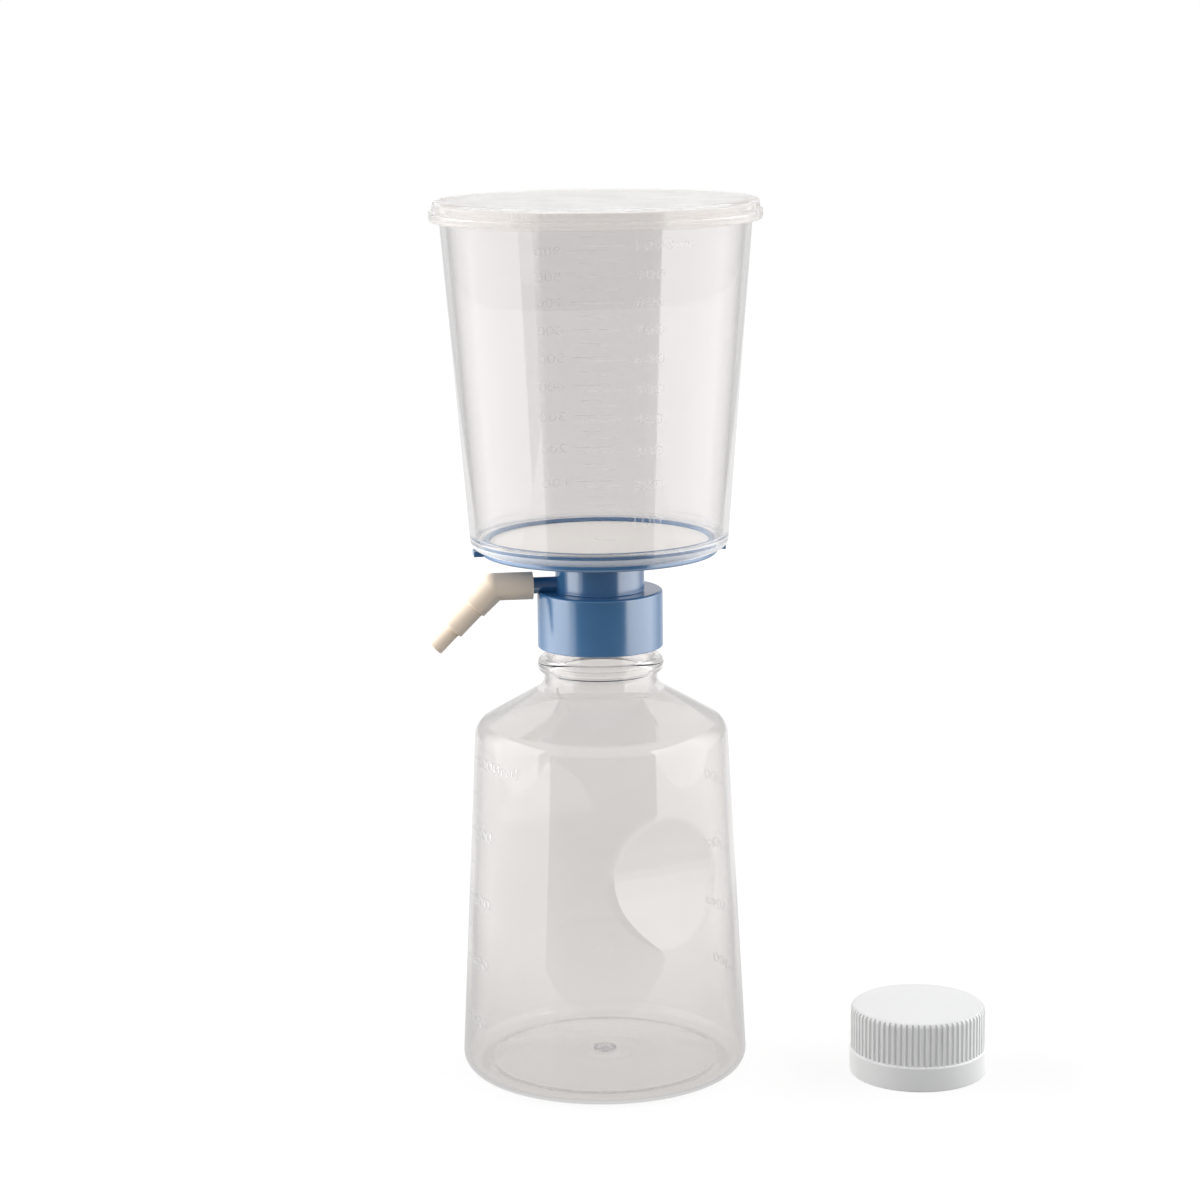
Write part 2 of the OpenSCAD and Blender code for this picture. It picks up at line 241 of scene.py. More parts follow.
def mouldFlowGroup():
    # slow waves and fine grain that every moulded piece shows in its surface; Level follows the waves
    group = bpy.data.node_groups.new("mouldFlow", "ShaderNodeTree")
    # each input: its name, least, most and usual value
    for name, low, high, value in (("Wave Size", 1, 400, 40), ("Grain Size", 100, 9000, 2500),
                                   ("Stretch", 0.05, 4, 1), ("Low", 0, 1, 0.1), ("High", 0, 1, 0.2)):
        socket = group.interface.new_socket(name, in_out="INPUT", socket_type="NodeSocketFloat")
        socket.min_value, socket.max_value, socket.default_value = low, high, value
    for name in ("Wave", "Grain", "Level"):
        group.interface.new_socket(name, in_out="OUTPUT", socket_type="NodeSocketFloat")
    links = group.links
    take, give = group.nodes.new("NodeGroupInput"), group.nodes.new("NodeGroupOutput")
    where, stretch, stretched = newNodes(group, "TexCoord", "CombineXYZ", "VectorMath")
    wave, grain, level = newNodes(group, "TexNoise", "TexNoise", "MapRange")
    stretch.inputs["X"].default_value = stretch.inputs["Y"].default_value = 1
    stretched.operation = "MULTIPLY"
    wave.inputs["Detail"].default_value = 1
    grain.inputs["Detail"].default_value = 4
    setRange(level, (0.3, 0.7))  # the noise seldom leaves these
    links.new(take.outputs["Stretch"], stretch.inputs["Z"])
    links.new(where.outputs["Object"], stretched.inputs[0])
    links.new(stretch.outputs[0], stretched.inputs[1])
    links.new(stretched.outputs[0], wave.inputs["Vector"])
    links.new(where.outputs["Object"], grain.inputs["Vector"])
    links.new(take.outputs["Wave Size"], wave.inputs["Scale"])
    links.new(take.outputs["Grain Size"], grain.inputs["Scale"])
    links.new(wave.outputs["Fac"], level.inputs["Value"])
    links.new(take.outputs["Low"], level.inputs["To Min"])
    links.new(take.outputs["High"], level.inputs["To Max"])
    links.new(wave.outputs["Fac"], give.inputs["Wave"])
    links.new(grain.outputs["Fac"], give.inputs["Grain"])
    links.new(level.outputs["Result"], give.inputs["Level"])
    return group


mouldFlow = mouldFlowGroup()


def addFlow(tree, **values):
    flow = tree.nodes.new("ShaderNodeGroup")
    flow.node_tree = mouldFlow
    for name, value in values.items():
        flow.inputs[name.replace("_", " ")].default_value = value
    return flow


def dullTop(tree, flow, shader, dulling):
    # the surface is duller where it faces up, from about 26 degrees off the upright
    facing, split, upward = newNodes(tree, "NewGeometry", "SeparateXYZ", "MapRange")
    dull = newMath(tree, "ADD")
    setRange(upward, (0.9, 1), (0, dulling))
    tree.links.new(facing.outputs["Normal"], split.inputs[0])
    tree.links.new(split.outputs["Z"], upward.inputs["Value"])
    tree.links.new(upward.outputs["Result"], dull.inputs[0])
    tree.links.new(flow.outputs["Level"], dull.inputs[1])
    tree.links.new(dull.outputs[0], shader.inputs["Roughness"])


# light that has turned or been mirrored more often than this passes clear plastic as a thin veil
veilAfter = {"turns": 8, "mirrored": 2.5}


def clearPlastic(name, settings):
    # tinted clear plastic, only a thin veil to shadows and to light that has turned many times
    material, tree = newMaterial(name)
    links = tree.links
    shader, bump, veil, mix = newNodes(tree, "BsdfPrincipled", "Bump", "BsdfTransparent", "MixShader")
    path, out = newNodes(tree, "LightPath", "OutputMaterial")
    shader.inputs["Base Color"].default_value = (*settings["tint"], 1)
    shader.inputs["Transmission Weight"].default_value = settings.get("clear", 1)
    shader.inputs["IOR"].default_value = settings["ior"]
    shader.inputs["Coat Weight"].default_value = settings.get("coat", 0)
    flow = addFlow(tree, Wave_Size=settings["waveSize"], Stretch=settings["stretch"],
                   Low=settings["rough"][0], High=settings["rough"][1])
    links.new(flow.outputs["Level"], shader.inputs["Roughness"])
    if "topRough" in settings:
        dullTop(tree, flow, shader, settings["topRough"])
    bump.inputs["Distance"].default_value = settings["waveDepth"] * mm
    bump.inputs["Strength"].default_value = 1
    links.new(flow.outputs["Wave"], bump.inputs["Height"])
    links.new(bump.outputs["Normal"], shader.inputs["Normal"])
    veil.inputs["Color"].default_value = (*[c ** settings.get("veil", 0.2) for c in settings["tint"]], 1)
    deep = newMath(tree, "GREATER_THAN", veilAfter["turns"])
    mirrored = newMath(tree, "GREATER_THAN", veilAfter["mirrored"])
    either, passing = newMath(tree, "MAXIMUM"), newMath(tree, "MAXIMUM")
    links.new(path.outputs["Ray Depth"], deep.inputs[0])
    links.new(path.outputs["Glossy Depth"], mirrored.inputs[0])
    links.new(deep.outputs[0], either.inputs[0])
    links.new(mirrored.outputs[0], either.inputs[1])
    links.new(path.outputs["Is Shadow Ray"], passing.inputs[0])
    links.new(either.outputs[0], passing.inputs[1])
    links.new(passing.outputs[0], mix.inputs["Fac"])
    links.new(shader.outputs[0], mix.inputs[1])
    links.new(veil.outputs[0], mix.inputs[2])
    links.new(mix.outputs[0], out.inputs["Surface"])
    return material


def solidPlastic(name, settings):
    # a body colour that shifts a little with the flow, under a gloss broken by fine grain
    material, tree = newMaterial(name)
    links = tree.links
    shader, ramp, bump, out = newNodes(tree, "BsdfPrincipled", "Mix", "Bump", "OutputMaterial")
    flow = addFlow(tree, Wave_Size=settings["waveSize"], Grain_Size=settings["grainSize"],
                   Low=settings["rough"][0], High=settings["rough"][1])
    ramp.data_type = "RGBA"
    ramp.inputs["A"].default_value = (*settings["dark"], 1)
    ramp.inputs["B"].default_value = (*settings["light"], 1)
    links.new(flow.outputs["Wave"], ramp.inputs["Factor"])
    links.new(ramp.outputs["Result"], shader.inputs["Base Color"])
    links.new(flow.outputs["Level"], shader.inputs["Roughness"])
    shader.inputs["IOR"].default_value = settings.get("ior", 1.5)
    shader.inputs["Specular IOR Level"].default_value = settings.get("gloss", 0.5)
    bump.inputs["Distance"].default_value = settings["grainDepth"] * mm
    links.new(flow.outputs["Grain"], bump.inputs["Height"])
    links.new(bump.outputs["Normal"], shader.inputs["Normal"])
    shader.inputs["Alpha"].default_value = 1 - settings.get("veil", 0)
    links.new(shader.outputs[0], out.inputs["Surface"])
    return material


# rough is the least and the most roughness, wave and grain sizes are noise scales (more is finer), and depths
# are in millimetres
bottleClear = clearPlastic("bottleClear", {
    "tint": (0.816, 0.799, 0.787), "ior": 1.5, "rough": (0.0, 0.03), "waveSize": 30, "stretch": 0.6,
    "waveDepth": 0.25})
funnelClear = clearPlastic("funnelClear", {
    "tint": (0.795, 0.78, 0.775), "ior": 1.5, "rough": (0.0, 0.02), "veil": 0, "waveSize": 25,
    "stretch": 0.4, "waveDepth": 0.03})
lidClear = clearPlastic("lidClear", {
    "tint": (0.942, 0.921, 0.902), "ior": 1.1, "rough": (0.02, 0.05), "clear": 0.95, "coat": 0.25,
    "topRough": 0.2, "waveSize": 60, "stretch": 1, "waveDepth": 0, "veil": 0.1})
footHaze = clearPlastic("footHaze", {
    "tint": (0.93, 0.93, 0.95), "ior": 1.4, "rough": (0.3, 0.45), "waveSize": 300, "stretch": 1,
    "waveDepth": 0.01, "clear": 0.5})
gateFrost = clearPlastic("gateFrost", {
    "tint": (0.9, 0.9, 0.92), "ior": 1.3, "rough": (0.2, 0.35), "waveSize": 300, "stretch": 1,
    "waveDepth": 0.1})
markClear = clearPlastic("markClear", {
    "tint": (0.94, 0.94, 0.94), "ior": 1.5, "rough": (0.0, 0.05), "waveSize": 300, "stretch": 1,
    "waveDepth": 0.02})
markFaint = solidPlastic("markFaint", {
    "dark": (0.97, 0.965, 0.96), "light": (1, 0.995, 0.99), "rough": (0.4, 0.55), "veil": 0.86,
    "waveSize": 300, "grainSize": 4000, "grainDepth": 0.005})
baseBlue = solidPlastic("baseBlue", {
    "dark": (0.028, 0.125, 0.275), "light": (0.035, 0.14, 0.31), "rough": (0.17, 0.22), "ior": 1.6,
    "gloss": 1.1, "waveSize": 60, "grainSize": 3000, "grainDepth": 0.01})
adapterCream = solidPlastic("adapterCream", {
    "dark": (0.80, 0.665, 0.53), "light": (0.84, 0.71, 0.575), "rough": (0.32, 0.42), "waveSize": 90,
    "grainSize": 2500, "grainDepth": 0.02})
membraneWhite = solidPlastic("membraneWhite", {
    "dark": (0.975, 0.955, 0.93), "light": (0.99, 0.97, 0.945), "rough": (0.8, 0.95), "waveSize": 50,
    "grainSize": 2000, "grainDepth": 0.06})
sealFoam = solidPlastic("sealFoam", {
    "dark": (0.72, 0.72, 0.70), "light": (0.80, 0.80, 0.78), "rough": (0.7, 0.9), "waveSize": 200,
    "grainSize": 1800, "grainDepth": 0.08})
cottonWhite = solidPlastic("cottonWhite", {
    "dark": (0.74, 0.73, 0.70), "light": (0.86, 0.85, 0.83), "rough": (0.9, 1.0), "waveSize": 350,
    "grainSize": 1500, "grainDepth": 0.25})
capWhite = solidPlastic("capWhite", {
    "dark": (0.72, 0.725, 0.725), "light": (0.75, 0.755, 0.755), "rough": (0.34, 0.42), "waveSize": 80,
    "grainSize": 3500, "grainDepth": 0.02})
print("materials ready")


# bottle

bottleSizes = {
    "baseR": 56.25, "topR": 49.05, "shoulderZ": 138.3, "shoulderRise": 30, "wall": 1.6,
    "heel": 6.5, "shoulderBend": 7, "neckBend": 6, "standingStep": (44, 48.5), "pushUp": (1.7, 4),
    "neckR": 21.9, "rootR": 20.9, "boreR": 19.1, "beadR": 24.45, "beadHalf": 2.95, "beadDrop": 25.5,
    "beadEdge": 2.4, "rootEdge": 0.4, "mouthEdge": 0.5, "edge": 0.3,
    "gateR": 2.6, "gateSlope": 0.8, "gateDrop": 0.7,
    # radius, height and rounding of the floor's dome over the floor's slope, and of the nub over its middle
    "dome": [(14, 0.02, 6), (9, 0.5, 4)], "nub": [(5, 0.25, 0.8), (3, 0.6, 0.8), (0, 0.7)],
}
# each finger notch is pressed in by a V whose faces lean by the first angle, and past the bend by the second
notchSizes = {
    "creaseZ": 90, "depth": 5.4, "lean": (7, 17.5), "bend": 12, "reach": 34, "radii": (12, 40), "turn": -68,
    "softness": 2, "rows": 112, "toolWidth": 120, "toolReach": 12, "pressed": (40, 125), "beside": 20,
    "leastPush": 0.02,
}


def bottleWallR(z):
    s = bottleSizes
    return s["baseR"] + (s["topR"] - s["baseR"]) * z / s["shoulderZ"]


def notchSheet(side, deeper):
    # the face of one press tool, a V whose arms bend outwards, as a sheet across the bottle
    n = notchSizes
    gentle, steep = (math.tan(math.radians(lean)) for lean in n["lean"])
    creaseR, bendR = (radius + deeper for radius in n["radii"])
    bend, reach, middle = n["bend"], n["reach"], n["creaseZ"]
    crease = bottleWallR(middle) - n["depth"] - deeper
    knee = crease + bend * gentle
    rim = knee + (reach - bend) * steep
    corners = [
        (side * rim, middle + reach), (side * knee, middle + bend, bendR), (side * crease, middle, creaseR),
        (side * knee, middle - bend, bendR), (side * rim, middle - reach)]
    sheet = chain("pressTool", corners)
    roundCorners(sheet, corners, False)
    bpy.ops.mesh.select_all(action="SELECT")
    bpy.ops.transform.translate(value=(0, -n["toolWidth"] / 2 * mm, 0))
    bpy.ops.mesh.extrude_edges_move(TRANSFORM_OT_translate={"value": (0, n["toolWidth"] * mm, 0)})
    bpy.ops.object.mode_set(mode="OBJECT")
    return sheet


def pressNotch(bottle, side, deeper, points):
    # one side of one wall is pushed onto the press tool
    sheet = notchSheet(side, deeper)
    group = bottle.vertex_groups.new(name="pressed")
    group.add(points, 1, "REPLACE")
    focus(bottle)
    bpy.ops.object.modifier_add(type="SHRINKWRAP")
    press = bottle.modifiers[-1]
    press.target = sheet
    press.wrap_method = "PROJECT"
    press.use_project_x = True
    press.use_positive_direction = side < 0
    press.use_negative_direction = side > 0
    press.project_limit = notchSizes["toolReach"] * mm
    press.vertex_group = group.name
    bpy.ops.object.modifier_apply(modifier=press.name)
    bottle.vertex_groups.clear()
    bpy.data.objects.remove(sheet)


def pressNotches(bottle):
    # both walls are pushed in on both sides, and the rims of the notches are then softened
    wall = bottleSizes["wall"]
    low, high = notchSizes["pressed"]
    before = [v.co.copy() for v in bottle.data.vertices]
    inward = [bottleWallR(p.z / mm) - math.hypot(p.x, p.y) / mm for p in before]
    for side in (1, -1):
        near = [i for i, p in enumerate(before)
                if low < p.z / mm < high and p.x * side > notchSizes["beside"] * mm]
        pressNotch(bottle, side, 0, [i for i in near if inward[i] < wall / 2])
        pressNotch(bottle, side, wall, [i for i in near if wall / 2 < inward[i] < 2 * wall])
    push = [(v.co - p).length / mm for v, p in zip(bottle.data.vertices, before)]
    moved = {i for i, length in enumerate(push) if length > notchSizes["leastPush"]}
    bpy.ops.object.mode_set(mode="EDIT")
    pickPoints(bottle, lambda p: p.index in moved)
    bpy.ops.mesh.select_more()
    bpy.ops.mesh.vertices_smooth(factor=0.5, repeat=notchSizes["softness"])
    bpy.ops.object.mode_set(mode="OBJECT")


def makeBottle():
    # the outline runs up the outside, over the mouth and down the inside, with an even wall up to the neck
    s = bottleSizes
    neckZ = s["shoulderZ"] + (s["topR"] - s["neckR"]) * math.tan(math.radians(s["shoulderRise"]))
    beadZ = mouthZ - s["beadDrop"]
    outer = [
        (0, s["pushUp"][1], 0), (s["standingStep"][0], s["pushUp"][0], 0), (s["standingStep"][1], 0, 0),
        (s["baseR"], 0, s["heel"]), (s["topR"], s["shoulderZ"], s["shoulderBend"]),
        (s["neckR"], neckZ, s["neckBend"]), (s["neckR"], beadZ, 0)]
    walls = [s["wall"]] * 5 + [s["neckR"] - s["boreR"]]  # of each stretch, the neck's last
    inner = [insetCorner(*outer[i - 1:i + 2], walls[i - 1], walls[i]) for i in range(1, 6)]
    centre = s["pushUp"][1]
    slope = (s["pushUp"][1] - s["pushUp"][0]) / s["standingStep"][0]
    gateZ = centre - s["gateDrop"]
    underside = [(0, gateZ), (s["gateR"] - s["gateSlope"], gateZ, s["edge"]),
                 (s["gateR"], centre - slope * s["gateR"], s["edge"])]
    under, over = beadZ - s["beadHalf"], beadZ + s["beadHalf"]
    neck = [(s["neckR"], under, s["edge"]), (s["beadR"], under, s["beadEdge"]),
            (s["beadR"], over, s["beadEdge"]), (s["rootR"], over, s["rootEdge"]),
            (s["rootR"], mouthZ, s["mouthEdge"]), (s["boreR"], mouthZ, s["mouthEdge"])]
    floorZ = centre + s["wall"]
    domeZ = floorZ - slope * s["dome"][0][0]
    dome = [(r, domeZ + rise, bend) for r, rise, bend in s["dome"]]
    nub = [(r, floorZ + rise, *bend) for r, rise, *bend in s["nub"]]
    corners = underside + outer[1:6] + neck + inner[::-1] + dome + nub
    # the tall faces of both walls have rows of points for the notches
    outerFace = len(underside) + 2
    innerFace = len(corners) - len(dome) - len(nub) - 4
    split = [(outerFace, notchSizes["rows"]), (innerFace, notchSizes["rows"])]
    bottle = lathe("bottleShell", corners, closed=False, split=split)
    pressNotches(bottle)
    focus(bottle)
    bottle.rotation_euler = (0, 0, math.radians(notchSizes["turn"]))
    bpy.ops.object.transform_apply(location=False, rotation=True, scale=False)
    smoothFinish(bottle)
    return finish(bottle, "bottle", "bottle_clear", bottleClear, "bottle")


gateSizes = {"wide": 5, "narrow": 2.6, "height": 1.1, "edge": 0.8, "footEdge": 0.2, "lift": 0.3}


def makeGate():
    # the frosted nub that the moulding gate leaves on the floor of the bottle
    g = gateSizes
    foot = bottleSizes["pushUp"][1] + bottleSizes["wall"] + g["lift"]
    corners = [(0, foot), (g["wide"], foot, g["footEdge"]), (g["narrow"], foot + g["height"], g["edge"]),
               (0, foot + g["height"])]
    gate = lathe("bottleGate", corners, closed=False, steps=64)
    smoothFinish(gate)
    return finish(gate, "bottle", "bottle_clear", gateFrost)


threadSizes = {"turns": 1.5, "lead": 4, "height": 1.05, "foot": 2.4, "crest": 1.1, "drop": 10.5, "sunk": 0.15,
               "edge": 0.3, "steps": 144}


def makeThread():
    # one ridge wound round the neck, its foot sunk a little into the wall
    t = threadSizes
    root = bottleSizes["rootR"] - t["sunk"]
    crestR = bottleSizes["rootR"] + t["height"]
    low = mouthZ - t["drop"]
    slant = (t["foot"] - t["crest"]) / 2
    profile = [(root, low, 0), (crestR, low + slant, t["edge"]),
               (crestR, low + slant + t["crest"], t["edge"]), (root, low + t["foot"], 0)]
    thread = chain("bottleThread", profile)
    pickPoints(thread, lambda p: abs(p.co.x - root * mm) < same)
    bpy.ops.mesh.edge_face_add()
    roundCorners(thread, profile, True)
    bpy.ops.object.mode_set(mode="OBJECT")
    bpy.ops.object.modifier_add(type="SCREW")
    screw = thread.modifiers[-1]
    screw.angle = t["turns"] * math.tau
    screw.screw_offset = t["turns"] * t["lead"] * mm
    screw.steps = screw.render_steps = t["steps"]
    applyModifiers(thread)
    bpy.ops.object.mode_set(mode="EDIT")
    bpy.ops.mesh.select_all(action="SELECT")
    bpy.ops.mesh.remove_doubles(threshold=same)
    bpy.ops.mesh.select_all(action="DESELECT")
    bpy.ops.mesh.select_non_manifold()
    bpy.ops.mesh.fill()
    bpy.ops.mesh.select_all(action="SELECT")
    bpy.ops.mesh.normals_make_consistent(inside=False)
    bpy.ops.object.mode_set(mode="OBJECT")
    smoothFinish(thread)
    return finish(thread, "bottle", "bottle_clear", bottleClear)


bottleShell = makeBottle()
makeGate()
makeThread()
print("bottle done")


# graduations

# the plane before the wall in which marks are laid out, the cuts that let a line bend, and the mark's foot
layout = {"away": 80, "typeSize": 0.01, "cuts": 7, "foot": 0.02}


def flatText(words, left, width, height, z):
    # words standing upright in the plane before the wall, from their left end
    clearSelection()
    bpy.ops.object.text_add()
    mark = bpy.context.object
    mark.data.body = words
    mark.data.size = layout["typeSize"]
    mark.data.resolution_u = 4
    bpy.ops.object.convert(target="MESH")
    low = [min(v.co[i] for v in mark.data.vertices) for i in (0, 1)]
    high = [max(v.co[i] for v in mark.data.vertices) for i in (0, 1)]
    scale = (width * mm / (high[0] - low[0]), height * mm / (high[1] - low[1]), 1)
    mark.scale = scale
    mark.location = (left * mm - low[0] * scale[0], -low[1] * scale[1] - height / 2 * mm, 0)
    bpy.ops.object.transform_apply(location=True, rotation=False, scale=True)
    mark.rotation_euler = (math.radians(90), 0, 0)
    mark.location = (0, -layout["away"] * mm, z * mm)
    bpy.ops.object.transform_apply(location=True, rotation=True, scale=False)
    return mark


def flatTick(left, width, thick, z):
    # a line in the same plane, cut across so that it can follow the wall
    clearSelection()
    bpy.ops.mesh.primitive_plane_add(size=mm, rotation=(math.radians(90), 0, 0),
                                     location=((left + width / 2) * mm, -layout["away"] * mm, z * mm))
    mark = bpy.context.object
    mark.scale = (width, thick, 1)
    bpy.ops.object.transform_apply(location=True, rotation=True, scale=True)
    bpy.ops.object.mode_set(mode="EDIT")
    bpy.ops.mesh.subdivide(number_cuts=layout["cuts"])
    bpy.ops.object.mode_set(mode="OBJECT")
    return mark


def raiseOnWall(name, marks, turn, wall, depth):
    # the flat marks are joined, turned to their side, laid on the wall and given a thickness
    focus(marks[0])
    for mark in marks:
        mark.select_set(True)
    bpy.ops.object.join()
    piece = bpy.context.object
    piece.name = name
    piece.rotation_euler = (0, 0, math.radians(turn + 90))
    bpy.context.view_layer.update()
    bpy.ops.object.modifier_add(type="SHRINKWRAP")
    lay = piece.modifiers[-1]
    lay.target = wall
    lay.wrap_method = "PROJECT"
    lay.use_project_y = True
    lay.use_positive_direction, lay.use_negative_direction = True, False
    lay.wrap_mode = "ABOVE_SURFACE"
    lay.offset = layout["foot"] * mm
    bpy.ops.object.modifier_add(type="SOLIDIFY")
    thick = piece.modifiers[-1]
    thick.thickness = depth * mm
    thick.offset = 1
    applyModifiers(piece)
    bpy.ops.object.transform_apply(location=False, rotation=True, scale=False)
    bpy.ops.object.shade_flat()
    return piece


def layMarks(name, m, rows, extra, turn, wall):
    # a figure and a long line at each row, and a short line halfway between them and at the extra heights
    marks = []
    for value, z in rows:
        words = str(value) + ("ml" if value == 1000 else "")
        marks.append(flatText(words, m["left"], m["digit"] * len(words), m["height"], z))
        marks.append(flatTick(*m["tick"], m["stroke"], z))
    halfway = [(z + above) / 2 for (_, z), (_, above) in zip(rows, rows[1:])]
    for z in extra + halfway:
        marks.append(flatTick(*m["short"], m["thin"], z))
    return raiseOnWall(name, marks, turn, wall, m["depth"])


# ticks are given as their left end and length, from the middle line of the marks
bottleMarks = {
    "even": [(200, 25.0), (400, 48.5), (600, 72.8), (800, 99.3), (1000, 127.0)],
    "odd": [(300, 33.8), (500, 57.6), (700, 83.6), (900, 110.7)],
    "turn": -158, "left": -10.1, "digit": 4.56, "height": 4.2, "tick": (-17.6, 6), "short": (-16.6, 3.6),
    "stroke": 0.5, "thin": 0.5, "depth": 0.3,
}


def makeBottleMarks(bottle, name, rows, turn):
    piece = layMarks(name, bottleMarks, rows, [], turn, bottle)
    return finish(piece, "bottle", "bottle_clear", markClear)


makeBottleMarks(bottleShell, "bottleMarksFront", bottleMarks["even"], bottleMarks["turn"])
makeBottleMarks(bottleShell, "bottleMarksBack", bottleMarks["odd"], bottleMarks["turn"] + 180)
print("bottle marks done")


# funnel

funnelSizes = {
    "draft": 4.44, "wall": 2.2, "floor": 2.9, "skirt": 0.9, "step": 3.8, "foot": 3.2, "innerFoot": 2.6,
    "haze": (0.7, 4), "hazeStep": 1, "ringStep": 1.2, "flange": (2.1, 1.8, 3.6), "fit": 0.2, "edge": 0.4,
    "round": 0.3, "seatEdge": 0.2, "ringEdge": 0.1,
}


def funnelWallR(z):
    return plateR + funnelSizes["step"] + (z - skirtZ) * math.tan(math.radians(funnelSizes["draft"]))


def makeFunnel():
    # the skirt goes over the drain plate's edge, and the floor rests on its ring
    s = funnelSizes
    rimZ = skirtZ + s["skirt"]
    floorZ = rimZ + s["floor"]
    flangeOut, flangeH, flangeDrop = s["flange"]
    flangeZ = lipZ - flangeDrop - flangeH
    ringR = plateR - s["ringStep"] + s["fit"]
    flangeEdgeR = funnelWallR(flangeZ) + flangeOut
    corners = [
        (ringR, rimZ, s["ringEdge"]), (plateR + s["fit"], rimZ, s["ringEdge"]),
        (plateR + s["fit"], skirtZ, s["seatEdge"]), (funnelWallR(skirtZ), skirtZ, s["foot"]),
        (funnelWallR(flangeZ), flangeZ, s["round"]), (flangeEdgeR, flangeZ, s["edge"]),
        (flangeEdgeR, flangeZ + flangeH, s["edge"]), (funnelWallR(lipZ), flangeZ + flangeH, s["round"]),
        (funnelWallR(lipZ), lipZ, s["edge"]), (funnelWallR(lipZ) - s["wall"], lipZ, s["edge"]),
        (funnelWallR(floorZ) - s["wall"], floorZ, s["innerFoot"]), (ringR, floorZ, s["seatEdge"])]
    funnel = lathe("funnelShell", corners)
    smoothFinish(funnel)
    finish(funnel, "head", "funnel_clear", funnelClear, "funnel")
    # the welded foot is a little hazy
    funnel.data.materials.append(footHaze)
    for face in funnel.data.polygons:
        height = face.center.z / mm - skirtZ
        radius = math.hypot(*face.center[:2]) / mm
        hazy = s["haze"][0] < height < s["haze"][1] and radius > plateR + s["hazeStep"]
        face.material_index = int(hazy)
    return funnel


funnelShell = makeFunnel()
print("funnel done")


funnelMarks = {
    "rows": [(100, 225.5), (200, 239.1), (300, 251.8), (400, 263.7), (500, 274.9), (600, 285.9),
             (700, 296.8), (800, 307.0), (900, 317.0), (1000, 327.8)],
    "lowest": 219.2, "turn": -84, "left": 1.1, "digit": 3.744, "height": 3.5, "tick": (-17.3, 15),
    "short": (-13.4, 7.4), "stroke": 0.45, "thin": 0.36, "depth": 0.12,
}


def makeFunnelMarks(funnel, name, turn):
    piece = layMarks(name, funnelMarks, funnelMarks["rows"], [funnelMarks["lowest"]], turn, funnel)
    return finish(piece, "head", "funnel_clear", markFaint)


makeFunnelMarks(funnelShell, "funnelMarksFront", funnelMarks["turn"])
makeFunnelMarks(funnelShell, "funnelMarksBack", funnelMarks["turn"] + 180)
print("funnel marks done")


# lid

lidSizes = {"wall": 1.2, "fit": 0.6, "edge": 1.4, "fold": 0.4, "round": 0.3, "seat": 0.2, "foot": 0.15}


def makeLid():
    # a thin disc with a stepped rim, which grips the funnel's flange
    s = lidSizes
    skirtR = flangeR + s["fit"]
    ledgeZ = lipZ - funnelSizes["flange"][2] + s["fit"] / 2
    gripR, rimR = skirtR - s["wall"], skirtR + s["wall"]
    corners = [
        (0, lipZ), (gripR, lipZ, s["round"]), (gripR, ledgeZ, s["round"]), (skirtR, ledgeZ, s["seat"]),
        (skirtR, lidFootZ, s["foot"]), (skirtR + s["wall"] / 2, lidFootZ, s["round"]),
        (rimR, lidFootZ + s["wall"], s["round"]), (rimR, ledgeZ + s["wall"], s["fold"]),
        (skirtR, ledgeZ + s["wall"], s["round"]), (skirtR, lidTopZ, s["edge"]), (0, lidTopZ)]
    lid = lathe("lidShell", corners, closed=False)
    smoothFinish(lid)
    return finish(lid, "lid", "lid_clear", lidClear, "lid")


makeLid()
print("lid done")


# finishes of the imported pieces

finishes = {
    "filter_base": baseBlue, "hose_adapter": adapterCream, "membrane": membraneWhite,
    "mouth_seal": sealFoam, "port_plug": cottonWhite, "storage_cap": capWhite,
}
for nodeName, material in finishes.items():
    frame["nodes"][nodeName].material_slots[0].material = material
frame["nodes"]["storage_cap"].visible_glossy = False  # the bottle doesn't mirror it
print("packed pieces finished")


# stage, light and camera

# the floor's glow near the unit and far off, between two distances, its own colour, and the fill of the world
stageSettings = {
    "reach": 6, "drop": 0.05, "glow": (0.80, 1.0), "near": (0.25, 1.2), "white": 0.18, "fill": 0.36,
}


def makeStage():
    s = stageSettings
    clearSelection()
    bpy.ops.mesh.primitive_plane_add(size=s["reach"], location=(0, 0, -s["drop"] * mm))
    floor = bpy.context.object
    floor.name = "floor"
    material, tree = newMaterial("floorWhite")
    links = tree.links
    matt, glow, both, out = newNodes(tree, "BsdfDiffuse", "Emission", "AddShader", "OutputMaterial")
    where, far, lift = newNodes(tree, "TexCoord", "VectorMath", "MapRange")
    strength = newMath(tree, "MULTIPLY")
    matt.inputs["Color"].default_value = (*[s["white"]] * 3, 1)
    far.operation = "LENGTH"
    setRange(lift, s["near"], s["glow"])
    links.new(where.outputs["Object"], far.inputs[0])
    links.new(far.outputs["Value"], lift.inputs["Value"])
    links.new(seenRays(tree), strength.inputs[0])
    links.new(lift.outputs["Result"], strength.inputs[1])
    links.new(strength.outputs[0], glow.inputs["Strength"])
    links.new(matt.outputs[0], both.inputs[0])
    links.new(glow.outputs[0], both.inputs[1])
    links.new(both.outputs[0], out.inputs["Surface"])
    floor.data.materials.append(material)


